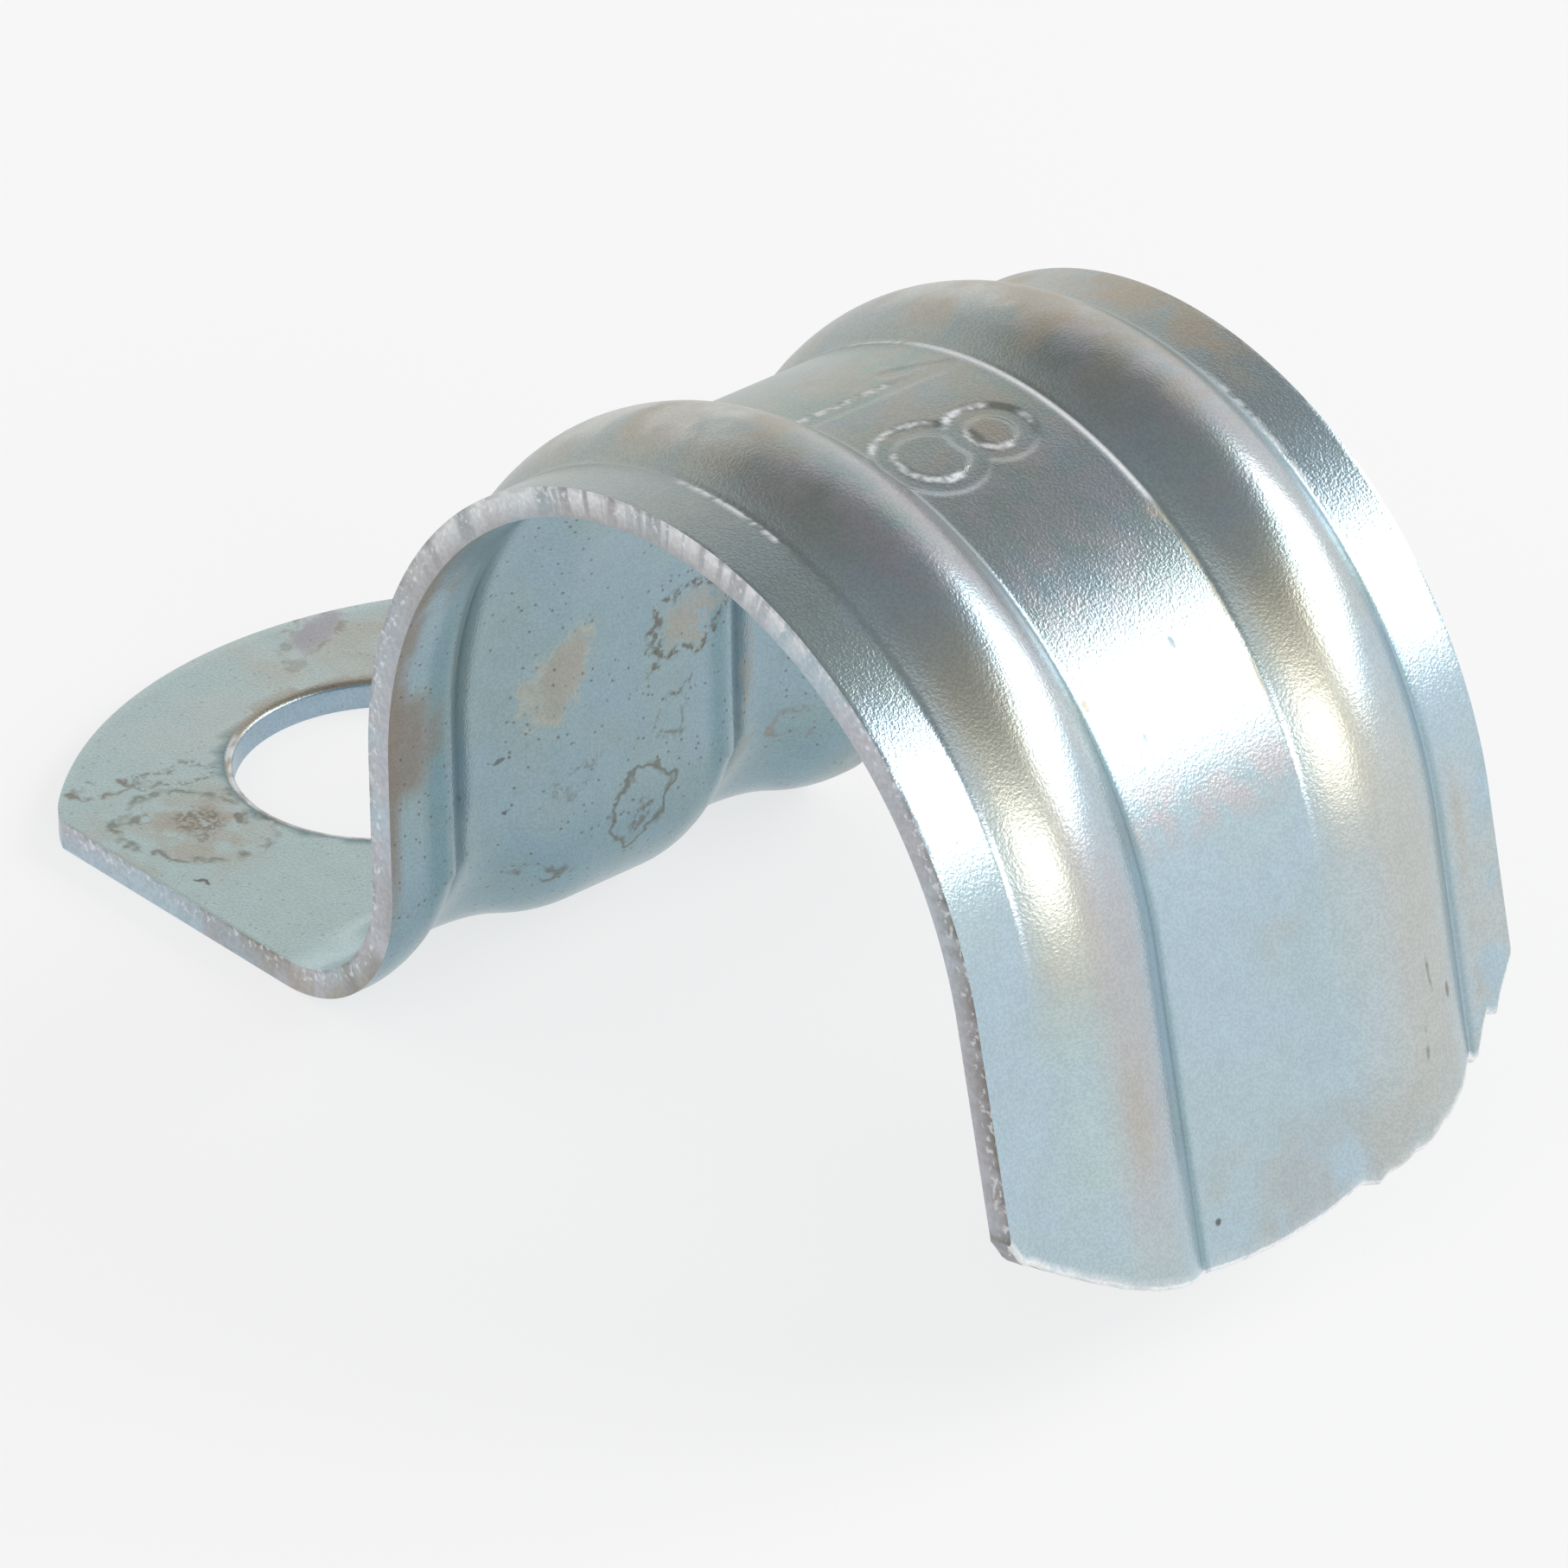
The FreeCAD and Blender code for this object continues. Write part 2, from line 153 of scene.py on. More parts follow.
def columnPlaces(height, half, crease):
    # The strip's columns from one edge to the other, each as a place across and a height off the flat.
    # Its section is a round crown between two round creases, and meet is where they touch.
    places = []
    radius = (half ** 2 + height ** 2) / (2 * max(height, foldBead["gone"] / 10)) - crease
    meet = half * radius / (radius + crease)

    def heightAt(reach):
        if height < foldBead["gone"] or reach >= half:
            return 0.0
        if reach > meet:
            return crease - math.sqrt(max(crease ** 2 - (half - reach) ** 2, 0.0))
        return height - radius + math.sqrt(radius ** 2 - reach ** 2)

    def stretch(start, end, count, middle):
        for step in range(count):
            place = start + (end - start) * step / count
            places.append((place, 0.0 if middle is None else heightAt(abs(place - middle))))

    edge, offset = strap["halfWidth"], strap["beadOffset"]
    corner = edge - min(ends["cornerReach"], (edge - offset - half) / 2)
    stretch(-edge, -corner, columnCounts["edge"], None)
    stretch(-corner, -offset - half, columnCounts["margin"], None)
    for middle in (-offset, offset):
        stretch(middle - half, middle - meet, columnCounts["crease"], middle)
        stretch(middle - meet, middle + meet, columnCounts["crown"], middle)
        stretch(middle + meet, middle + half, columnCounts["crease"], middle)
        if middle < 0:
            stretch(middle + half, offset - half, columnCounts["middle"], None)
    stretch(offset + half, corner, columnCounts["margin"], None)
    stretch(corner, edge, columnCounts["edge"], None)
    places.append((edge, 0.0))
    return places


def cornerDropAt(across):
    into = 1 - (strap["halfWidth"] - abs(across)) / ends["cornerReach"]
    return ends["cornerDrop"] * max(into, 0.0) ** 2


def lugEndAt(across):
    centre = strap["lugEnd"] + strap["endRadius"]
    return centre - math.sqrt(strap["endRadius"] ** 2 - (across - strap["endOffset"]) ** 2) + cornerDropAt(across)


def legEndAt(across):
    centre = strap["legLength"] - strap["endRadius"]
    end = centre + math.sqrt(strap["endRadius"] ** 2 - (across + strap["endOffset"]) ** 2) - cornerDropAt(across)
    for middle, half, length in ends["burrs"]:
        end += length * math.exp(-((across - middle) / half) ** 2)
    return end + ends["waver"] * noise.noise(Vector((across * ends["waverRate"], 0, 0)))


def rowList():
    # Each row is the stretch it lies on and how far along that, as a share or as an angle in degrees.
    rows = []

    def stretch(kind, start, end, count):
        rows.extend((kind, start + (end - start) * step / count) for step in range(count))

    stretch("lug", 1.0, 0.0, rowCounts["lug"])
    stretch("fold", 90.0, 0.0, rowCounts["fold"])
    stretch("wall", 0.0, 1.0, rowCounts["wall"])
    stretch("arch", 180.0, numberArc[0], rowCounts["archBack"])
    stretch("arch", numberArc[0], numberArc[1], rowCounts["archNumber"])
    stretch("arch", numberArc[1], strap["legSpread"], rowCounts["archFront"])
    tipStart = 1 - ends["tipRoll"] / strap["legLength"]
    stretch("leg", 0.0, tipStart, rowCounts["leg"])
    stretch("leg", tipStart, 1.0, rowCounts["tip"])
    rows.append(("leg", 1.0))
    return rows


def bentPlace(kind, amount, across, height):
    # Where a point of the flat blank, height over it, comes to lie once the sheet is bent.
    if kind == "lug":
        return foldX + (lugEndAt(across) - foldX) * amount, strap["sheet"] + height
    if kind == "fold":
        angle = math.radians(amount)
        reach = strap["foldRadius"] - height
        return foldX + reach * math.cos(angle), foldZ - reach * math.sin(angle)
    if kind == "wall":
        return strap["axisX"] - outerRadius - height, foldZ + (strap["axisZ"] - foldZ) * amount
    angle = math.radians(amount) if kind == "arch" else legAngle
    x = strap["axisX"] + (outerRadius + height) * math.cos(angle)
    z = strap["axisZ"] + (outerRadius + height) * math.sin(angle)
    if kind == "leg":
        along = legEndAt(across) * amount
        x += along * math.sin(angle)
        z -= along * math.cos(angle)
    return x, z


def addStrip():
    # A flat grid is laid down as the blank, and each row of it is then bent to its place. It is the outer face.
    rows = rowList()
    columns = len(columnPlaces(*beadSize(0)))
    deselectAll()
    bpy.ops.mesh.primitive_grid_add(x_subdivisions=len(rows) - 1, y_subdivisions=columns - 1, size=2)
    strip = bpy.context.object
    strip.name = "zincStrap"
    sections = {}
    for vertex in strip.data.vertices:
        row = round((vertex.co.x + 1) / 2 * (len(rows) - 1))
        column = round((vertex.co.y + 1) / 2 * (columns - 1))
        kind, amount = rows[row]
        if row not in sections:
            turn = {"lug": 90.0, "fold": amount}.get(kind, 0.0)
            sections[row] = columnPlaces(*beadSize(turn))
        across, height = sections[row][column]
        x, z = bentPlace(kind, amount, across, height)
        vertex.co = Vector((x, across, z)) * mm
    makeActive(strip)
    bpy.ops.object.mode_set(mode="EDIT")
    bpy.ops.mesh.select_all(action="SELECT")
    bpy.ops.mesh.normals_make_consistent(inside=False)
    bpy.ops.object.mode_set(mode="OBJECT")
    return strip


# The punch: a straight shank that flares where it draws the upper edge of the hole down.
punchShape = {
    "sides": 96,
    "flare": 0.2,
    "drawn": 0.11,                               # how deep the drawn edge goes
    "steps": 5,
    "reach": 1.0,                                # how far it stands out of the sheet on both sides
}


def punchHole(strip):
    drawn, reach, steps = punchShape["drawn"], punchShape["reach"], punchShape["steps"]
    top, radius = strap["sheet"] - drawn, strap["holeRadius"]
    deselectAll()
    bpy.ops.mesh.primitive_cylinder_add(vertices=punchShape["sides"], radius=radius * mm, depth=(top + reach) * mm,
                                        location=(0, 0, (top - reach) / 2 * mm))
    punch = bpy.context.object
    bpy.ops.object.transform_apply(location=True, rotation=True, scale=True)
    bpy.ops.object.mode_set(mode="EDIT")
    bpy.ops.mesh.select_all(action="DESELECT")
    bpy.ops.object.mode_set(mode="OBJECT")
    for face in punch.data.polygons:
        face.select = face.normal.z > 0.9        # its top
    bpy.ops.object.mode_set(mode="EDIT")
    wide, high = radius, top
    for step in range(1, steps + 2):
        angle = math.radians(min(90 * step / steps, 90))
        nextWide = radius + punchShape["flare"] * (1 - math.cos(angle))
        nextHigh = top + drawn * math.sin(angle) + (reach if step > steps else 0)
        growth = nextWide / wide
        bpy.ops.mesh.extrude_region_move(TRANSFORM_OT_translate={"value": (0, 0, (nextHigh - high) * mm)})
        bpy.ops.transform.resize(value=(growth, growth, 1), center_override=(0, 0, nextHigh * mm))
        wide, high = nextWide, nextHigh
    bpy.ops.object.mode_set(mode="OBJECT")
    for material in finishes:
        punch.data.materials.append(material)
    applyModifier(strip, "BOOLEAN", "hole", object=punch, operation="DIFFERENCE", solver="EXACT")
    bpy.data.objects.remove(punch)


# The size number pressed into the crown. Along runs with the reading direction from the top of the arch.
sizeNumber = {
    "depth": 0.055,
    "edge": 0.13,                                # how far the sheet bends at a stroke's edge
    "stroke": 0.44,
    "reach": 4,                                  # nothing of it lies further along than this
    "rings": ((1.45, -1.08, 1.0), (1.46, 0.52, 0.74)),         # along, across and middle radius
    # start and end of each straight stroke, along and across, and its share of the depth
    "lines": (((-1.22, -2.2), (-1.2, 1.72), 0.45), ((-1.2, 1.72), (-1.82, 0.6), 0.4)),
    # painted highlights where the strokes' edges glint: the ring, 1 for its outer edge or -1 for its inner one, the
    # middle and the half width of the stretch in degrees, half the line's width, and its share
    "glints": ((0, 1, 186, 46, 0.05, 0.8), (1, 1, 186, 40, 0.06, 0.95), (1, 1, 88, 14, 0.035, 0.8),
               (0, -1, -62, 68, 0.05, 0.9), (0, -1, -4, 16, 0.085, 1.0), (1, -1, -70, 62, 0.045, 0.8),
               (1, -1, -6, 20, 0.08, 1.0)),
    "glintSoft": 0.045,                          # how softly a glint ends to its sides
    "glintFade": 8,                              # and along its line, in degrees
}


def lineDistance(place, start, end):
    start, end = Vector(start), Vector(end)
    along = max(0.0, min(1.0, (place - start).dot(end - start) / (end - start).length_squared))
    return (place - start - (end - start) * along).length


def pressNumber(strip, outerCount):
    for vertex in strip.data.vertices[:outerCount]:
        x, y, z = vertex.co / mm
        reach = Vector((x - strap["axisX"], z - strap["axisZ"]))
        place = Vector((math.atan2(reach.x, reach.y) * outerRadius, y))
        if z < strap["axisZ"] or abs(place.x) > sizeNumber["reach"]:
            continue
        gaps = [(abs((place - Vector(ring[:2])).length - ring[2]), 1.0) for ring in sizeNumber["rings"]]
        gaps += [(lineDistance(place, start, end), share) for start, end, share in sizeNumber["lines"]]
        outside = (sizeNumber["stroke"] + sizeNumber["edge"]) / 2
        deepest = max(share * smooth(gap, outside, outside - sizeNumber["edge"]) for gap, share in gaps)
        away = Vector((reach.x, 0, reach.y)).normalized()
        vertex.co -= away * deepest * sizeNumber["depth"] * mm


def glintAt(along, across):
    # How much painted highlight, in white, lies at a point along the number's strokes.
    share, soft, fade = 0.0, sizeNumber["glintSoft"], sizeNumber["glintFade"]
    for ring, side, middle, half, wide, most in sizeNumber["glints"]:
        centreAlong, centreAcross, radius = sizeNumber["rings"][ring]
        right, up = along - centreAlong, across - centreAcross
        gap = abs(math.hypot(right, up) - radius - side * sizeNumber["stroke"] / 2)
        turn = abs((math.degrees(math.atan2(up, right)) - middle + 180) % 360 - 180)
        share = max(share, most * smooth(gap, wide + soft, wide / 2) * smooth(turn, half + fade, half - fade))
    return share


def rollTip(strip, outerCount):
    # The outer edge of the free end is drawn in, as a blunt die leaves it.
    away = Vector((math.cos(legAngle), 0, math.sin(legAngle)))
    down = Vector((away.z, 0, -away.x))
    start = Vector((strap["axisX"], 0, strap["axisZ"])) + away * outerRadius
    roll = ends["tipRoll"]
    for vertex in strip.data.vertices[:outerCount]:
        place = vertex.co / mm - start
        left = legEndAt(place.y) - Vector((place.x, 0, place.z)).dot(down)
        if place.x > 0 and place.z < 0 and left < roll:
            vertex.co -= away * (roll - math.sqrt(max(roll ** 2 - (roll - left) ** 2, 0.0))) * mm


def stripPlaceOf(x, y, z):
    # Where a point of the strip lies along it and across it, and how deep under its outer face.
    if x > strap["axisX"] or z > strap["axisZ"]:
        right, up = x - strap["axisX"], z - strap["axisZ"]
        angle = math.atan2(up, right)
        if angle < legAngle:
            below = right * math.sin(legAngle) - up * math.cos(legAngle)
            depth = outerRadius - (right * math.cos(legAngle) + up * math.sin(legAngle))
            return legStart + below, y, depth
        return outerRadius * (math.pi / 2 - angle), y, outerRadius - math.hypot(right, up)
    if z > foldZ:
        return archBack - (strap["axisZ"] - z), y, x - (strap["axisX"] - outerRadius)
    if x > foldX:
        angle = math.atan2(foldZ - z, x - foldX)
        return wallFoot - strap["foldRadius"] * angle, y, math.hypot(x - foldX, foldZ - z) - strap["foldRadius"]
    return lugStart - (foldX - x), y, strap["sheet"] - z


# The colours of the plating, as they look in daylight, and its fine texture.
finish = {
    "paleBlue": (186, 207, 218),
    "greyGreen": (187, 205, 204),
    "lugGreen": (183, 202, 200),
    "innerBlue": (155, 178, 188),
    "innerGreen": (157, 178, 180),
    "beige": (202, 202, 196),
    "tarnish": (150, 154, 147),
    "tan": (184, 174, 158),
    "green": (150, 166, 156),
    "gold": (202, 197, 176),
    "rosy": (194, 189, 191),
    # teal: the colour of painted shade, in creases, on the fold's inner face and round the hole
    "teal": (98, 138, 148),
    "holeBlue": (164, 186, 200),
    "holeRim": (176, 172, 160),
    "rimGrey": (192, 195, 201),
    "lilac": (188, 186, 192),
    "brown": (150, 142, 132),
    "umber": (112, 103, 90),
    # soot spots, and also a painted shade line along a crease inside
    "sootAndShade": (84, 80, 75),
    # white, also the colour of every painted highlight and glint
    "white": (240, 242, 244),
    "polish": 0.19,                              # roughness of the clean plating
    "dull": 0.5,                                 # and of stains, rubbed lines and sheared metal
    "grainSize": 0.065,                          # the fine orange peel left by the rolls, in mm
    "grainHeight": 0.007,
    "grainShade": (0.38, 0.62, 0.22),            # where the grain starts and ends to darken, and how much
    "grainDark": (0.5, 0.5, 0.52, 1),
    "mottle": (0.3, 0.7, 0.08),                  # the same for a wider mottling
    "mottleDark": (0.5, 0.5, 0.48, 1),
    "raggedSize": 0.6,                           # the clouds that pull a stain's outline about, in mm
    "raggedPull": 1.1,                           # and how far
    "speckSize": 0.16,
    "pitSpacing": 0.17,
    "pitEdge": (0.32, 0.12),
    "pitChosen": (0.72, 0.85),                   # the pits whose chance is over this show
}
platings = {"outer": ("paleBlue", "greyGreen"), "inner": ("innerBlue", "innerGreen"), "rim": ("rimGrey", "paleBlue")}

# The strip's material slots in order, and the side whose tints each one shows.
slots = {"arch": 0, "inner": 1, "rim": 2, "lug": 3}
sides = ("outer", "inner", "rim", "outer")

# Soft tints laid along the strip, some of them painted shade and painted highlights. Each: along from and to, across
# from and to, how softly it ends along and across, colour, share, the size of the clouds that break it up (0 is
# even), and how far it is a painted highlight, shown bright and not metallic.
tints = {
    "outer": (
        (-60, -21.5, -8, 8, 2.0, 1, "lugGreen", 0.9, 0, 0),
        (-60, -28.0, -3.5, 8, 2.5, 2, "beige", 0.35, 2.2, 0),
        (-34.0, -29.0, 0.5, 5.5, 1.0, 1, "tan", 0.45, 1.6, 0),
        (-30.5, -27.0, -7.0, -3.2, 1.0, 1, "tan", 0.55, 1.3, 0),
        (-14, 3.4, -8, 8, 3.5, 1, "tarnish", 0.75, 0, 0),
        (-12, 1.0, -5.2, -2.6, 3.0, 0.7, "tan", 0.7, 1.8, 0),
        (-12, 2.0, 2.6, 7.2, 3.0, 0.7, "tan", 0.75, 1.8, 0),
        (-12, 0.5, -2.0, 2.2, 2.0, 0.5, "green", 0.6, 1.5, 0),
        (-4, 3.0, -2.0, 2.2, 1.0, 0.5, "tan", 0.4, 1.2, 0),
        (0.9, 1.9, -1.6, -0.6, 0.3, 0.3, "tan", 0.5, 0.6, 0),
        (1.0, 1.8, 0.2, 0.8, 0.3, 0.3, "tan", 0.6, 0, 0),
        (-6.5, -0.5, -4.9, -2.9, 1.5, 0.4, "beige", 0.75, 1.6, 0),
        (-6.5, -0.5, 3.2, 4.9, 1.5, 0.4, "beige", 0.6, 1.6, 0),
        (-3.0, 4.0, 3.6, 5.2, 1.5, 0.4, "tan", 0.6, 1.3, 0),
        (-3.0, 3.0, 5.8, 7.0, 1.5, 0.4, "tan", 0.7, 1.1, 0),
        (-16.0, -4.0, -2.0, 2.2, 2.0, 0.5, "green", 0.6, 2.0, 0),
        (0.5, 5.0, -4.9, -2.6, 1.2, 0.5, "lilac", 0.7, 0.9, 0),
        (0.0, 5.5, 2.6, 4.6, 1.2, 0.5, "lilac", 0.6, 0.9, 0),
        (2.0, 7.0, -2.0, 2.0, 1.2, 0.4, "lilac", 0.5, 0.8, 0),
        (1.0, 9.0, -3.2, -2.3, 2.0, 0.3, "rosy", 0.6, 0, 0),
        (2.0, 9.0, 4.3, 5.3, 2.0, 0.3, "rosy", 0.5, 0, 0),
        (5.5, 13.5, -5.4, -4.0, 1.5, 0.4, "gold", 0.75, 0, 0),
        (6.5, 12.5, 2.4, 3.7, 1.5, 0.4, "gold", 0.85, 0, 0),
        (10.0, 18.0, -4.4, -3.0, 2.0, 0.4, "rosy", 0.65, 0, 0),
        (10.0, 19.0, 3.3, 4.9, 2.0, 0.5, "beige", 0.7, 0, 0),
        (13.0, 21.0, -5.5, -4.2, 3.0, 0.4, "greyGreen", 0.6, 2.0, 0),
        (15.0, 17.2, -4.1, -3.6, 1.0, 0.25, "tan", 0.6, 0, 0),
        (12.0, 22.0, -4.4, -3.2, 2.0, 0.4, "beige", 0.3, 0, 0),
        (12.0, 22.0, 2.4, 5.2, 2.0, 0.5, "beige", 0.35, 0, 0),
        (13.5, 15.0, 0.2, 1.6, 0.6, 0.5, "tan", 0.2, 0.9, 0),
        (10.0, 11.3, -2.2, 2.2, 0.4, 0.2, "rosy", 0.75, 0.8, 0),
        (18.2, 20.8, -1.8, 5.4, 0.9, 0.6, "tan", 0.35, 1.8, 0),
        (12.0, 19.5, 5.7, 7.2, 1.5, 0.4, "beige", 0.6, 1.5, 0),
        (12.5, 19.0, 6.0, 6.14, 1.0, 0.12, "tan", 0.6, 0.8, 0),
        # painted shade: dark teal lines along two creases down the leg
        (6.0, 22.0, -2.3, -2.1, 2.0, 0.09, "teal", 0.5, 0, 0),
        (6.0, 22.0, 5.5, 5.7, 2.0, 0.09, "teal", 0.4, 0, 0),
        # painted highlights: bright lines along the bead creases, one of them gold, and along the stem of the 1
        (-5.4, -2.6, 2.08, 2.18, 0.3, 0.03, "white", 0.95, 0.2, 1),
        (-2.8, 4.7, 2.06, 2.2, 0.4, 0.03, "white", 1.0, 0, 1),
        (-1.46, -1.36, -2.2, 0.2, 0.05, 0.1, "white", 1.0, 0.14, 1),
        (4.8, 9.8, 2.08, 2.18, 0.4, 0.03, "gold", 0.9, 0.2, 1),
        (-1.1, 2.1, -5.68, -5.58, 0.3, 0.03, "white", 0.95, 0.2, 1),
        (2.4, 9.0, 5.58, 5.68, 0.5, 0.03, "white", 0.6, 0.3, 1),
        (4.72, 4.98, 1.85, 2.15, 0.1, 0.06, "tan", 0.8, 0, 0),
    ),
    "inner": (
        # painted shade: teal bands and a thin dark line along the creases inside
        (-21, 60, -6.0, -5.35, 1.5, 0.2, "teal", 0.5, 0, 0),
        (-20, 60, -5.3, -5.24, 1.0, 0.04, "sootAndShade", 0.45, 0, 0),
        (-21, 60, 1.85, 2.35, 1.5, 0.2, "teal", 0.45, 0, 0),
        (-18.5, -6.0, -7.2, -6.75, 1.2, 0.15, "brown", 0.8, 0, 0),
        (-16.4, -9.0, -7.2, -6.55, 0.7, 0.12, "brown", 0.7, 0.9, 0),
        (-16.0, -13.5, -7.2, -6.0, 0.35, 0.3, "brown", 0.85, 0, 0),
        (-15.4, -14.0, -6.3, -5.5, 0.4, 0.25, "brown", 0.6, 0.7, 0),
        (-10.6, -8.8, -7.2, -5.9, 0.6, 0.3, "brown", 0.6, 0.9, 0),
        (-60, 60, 6.2, 8, 1.0, 0.6, "tan", 0.55, 1.5, 0),
        (-20.2, -16.0, 2.9, 3.6, 1.0, 0.12, "tan", 0.5, 0.8, 0),
        # painted shade: teal across the whole width of the fold's inner face
        (-22, -18.6, -8, 8, 0.8, 1, "teal", 0.3, 0, 0),
    ),
    "rim": (
        (-26.0, -18.5, -8, 8, 2.5, 1, "brown", 0.75, 1.6, 0),
        (-24.0, -20.5, -8, 8, 1.0, 1, "tan", 0.6, 0.6, 0),
        (-12.0, 3.0, -8, 8, 4.0, 1, "brown", 0.4, 0, 0),
        (-34.5, -28.0, -8, 8, 3.0, 1, "lilac", 0.6, 2.0, 0),
        (8.0, 21.0, -8, 8, 3.0, 1, "lilac", 0.6, 2.0, 0),
    ),
}


# Where colour breaks up into patches. Each: the size of the clouds in mm, from and to of the cloud's value where a
# patch sets in, and the share that stays between patches.
patches = {
    "plating": (2.4, 0.35, 0.65, 0),
    "glint": (0.16, 0.35, 0.5, 0.45),
    "corner": (0.3, 0.35, 0.55, 0),
    "tip": (0.25, 0.3, 0.5, 0.55),
    "hole": (0.25, 0.5, 0.62, 0),
}

# How far stains and painted highlights dull the plating, and the bare metal of the edges with its painted highlights.
# Lengths and places are in millimetres.
wear = {
    "front": 9,                                  # along: the second plating colour is fainter from here on
    "secondFront": 0.3,
    "secondBack": 0.7,
    # these dull fully: the stains, and white, the colour of the painted highlights
    "stainsAndHighlights": ("tan", "brown", "white", "umber"),
    "stainAndHighlightDull": 0.9,
    "tintDull": 0.35,
    "tintPatch": (0.3, 0.62),
    "tintShift": 7.0,                            # gives each tint its own part of the clouds
    "rimDull": 0.7,
    "corner": 0.07,                              # depth of the sheared edge's corner beside the outer face
    "cornerDark": (7, 10, 0.75, 0.4),            # along from and to, share, and the part that doesn't break up
    # the painted highlight on the sheared corner over the arch:
    "cornerBright": (-9, 5, 2, 0.9),             # along from and to, softness and share
    "lugRim": -26,                               # along: from here back the lower part of the rim is plated
    "lugRimBlue": (0.25, 0.5, 0.8),              # depth from and to, and share
    "tip": 0.22,                                 # length of the bare edge at the free end
    # the painted highlight on the rolled edge: from and to of where it sets in
    "tipBright": (0.18, 0.1),
    "tipDark": 0.6,
    "holeWall": 0.02,                            # how far out from the hole its wall, its glint and its rim go
    "holeGlint": 0.16,
    "holeRim": 0.26,
    # the painted highlight and painted shade round the hole are strongest on the side toward the camera
    "holeNear": (1.2, 2.4),                      # the near side of the hole, where the rim is strongest
    "holeBright": 0.8,
    "holeDark": 0.7,
}


def newMaterial(name):
    material = bpy.data.materials.new(name)
    material.use_nodes = True
    return material, material.node_tree, material.node_tree.nodes["Principled BSDF"]


def colourOf(name):
    # A named colour, given as a screen shows it, in the shader's own linear numbers.
    shares = [part / 255 for part in finish[name]]
    return [share / 12.92 if share < 0.04045 else ((share + 0.055) / 1.055) ** 2.4 for share in shares] + [1]


def toward(colour, name, share):
    return colour.lerp(Vector(colourOf(name)[:3]), share)


def softBand(value, low, high, soft):
    return smooth(value, low - soft, low + soft) * (1 - smooth(value, high - soft, high + soft))


def cloud(place, size):
    # Mostly between 0 and 1, and near a half on the whole.
    return 0.5 + 0.5 * noise.fractal(place / size, 0.7, 2.0, 3)


def patchAt(kind, solid):
    size, low, high, least = patches[kind]
    return least + (1 - least) * smooth(cloud(solid, size), low, high)


def tintAt(side, place, solid):
    # Colour, dullness and share of painted highlight at a point. place is along, across and deep, solid is in space.
    along, across, depth = place
    base, second = platings[side]
    strength = wear["secondFront"] if along > wear["front"] else wear["secondBack"]
    colour = toward(Vector(colourOf(base)[:3]), second, strength * patchAt("plating", solid))
    dull = paintedGlint = 0.0
    for low, high, near, far, softAlong, softAcross, name, share, clouds, glintPart in tints[side]:
        if not (low - softAlong < along < high + softAlong and near - softAcross < across < far + softAcross):
            continue
        share *= softBand(along, low, high, softAlong) * softBand(across, near, far, softAcross)
        if clouds:
            share *= smooth(cloud(solid + Vector((low, near, wear["tintShift"])), clouds), *wear["tintPatch"])
        colour = toward(colour, name, share)
        dull = max(dull, share * wear["stainAndHighlightDull" if name in wear["stainsAndHighlights"] else "tintDull"])
        paintedGlint = max(paintedGlint, share * glintPart)
    # Painted highlights along the edges of the pressed number.
    if side == "outer" and abs(along) < sizeNumber["reach"]:
        glint = glintAt(along, across) * patchAt("glint", solid)
        colour, paintedGlint = toward(colour, "white", glint), max(paintedGlint, glint)
    if side == "rim":
        dull = max(dull, wear["rimDull"])
        if depth < wear["corner"]:
            # The corner beside the outer face: a painted highlight over the arch, dark down the leg.
            patch = patchAt("corner", solid)
            low, high, share, even = wear["cornerDark"]
            colour = toward(colour, "umber", share * smooth(along, low, high) * (even + (1 - even) * patch))
            low, high, soft, share = wear["cornerBright"]
            bright = share * patch * softBand(along, low, high, soft)
            colour, paintedGlint = toward(colour, "white", bright), max(paintedGlint, bright)
        if along < wear["lugRim"]:
            low, high, share = wear["lugRimBlue"]
            colour = toward(colour, "paleBlue", share * smooth(depth, low, high))
    return colour, dull, paintedGlint


def tipTint(side, left, solid, colour, paintedGlint):
    # The rolled edge of the free end has a painted highlight outside, and is dark and torn under.
    patch = patchAt("tip", solid)
    if side == "outer":
        bright = patch * smooth(left, *wear["tipBright"])
        return toward(colour, "white", bright), max(paintedGlint, bright)
    if side == "rim":
        colour = toward(colour, "umber", wear["tipDark"] * patch)
    return colour, paintedGlint


def holeTint(out, solid, paintedGlint):
    # The hole's wall is bluer. On the near side the rim round it gets a painted highlight, and further out a teal
    # line of painted shade. Out is how far a point lies from the hole's wall.
    if out < wear["holeWall"]:
        return Vector(colourOf("holeBlue")[:3]), paintedGlint
    near = smooth(-solid.y, *wear["holeNear"])
    rim = Vector(colourOf("holeRim")[:3])
    if out > wear["holeGlint"]:
        return toward(rim, "teal", wear["holeDark"] * near), paintedGlint
    glint = wear["holeBright"] * near * patchAt("hole", solid)
    return toward(rim, "white", glint), glint


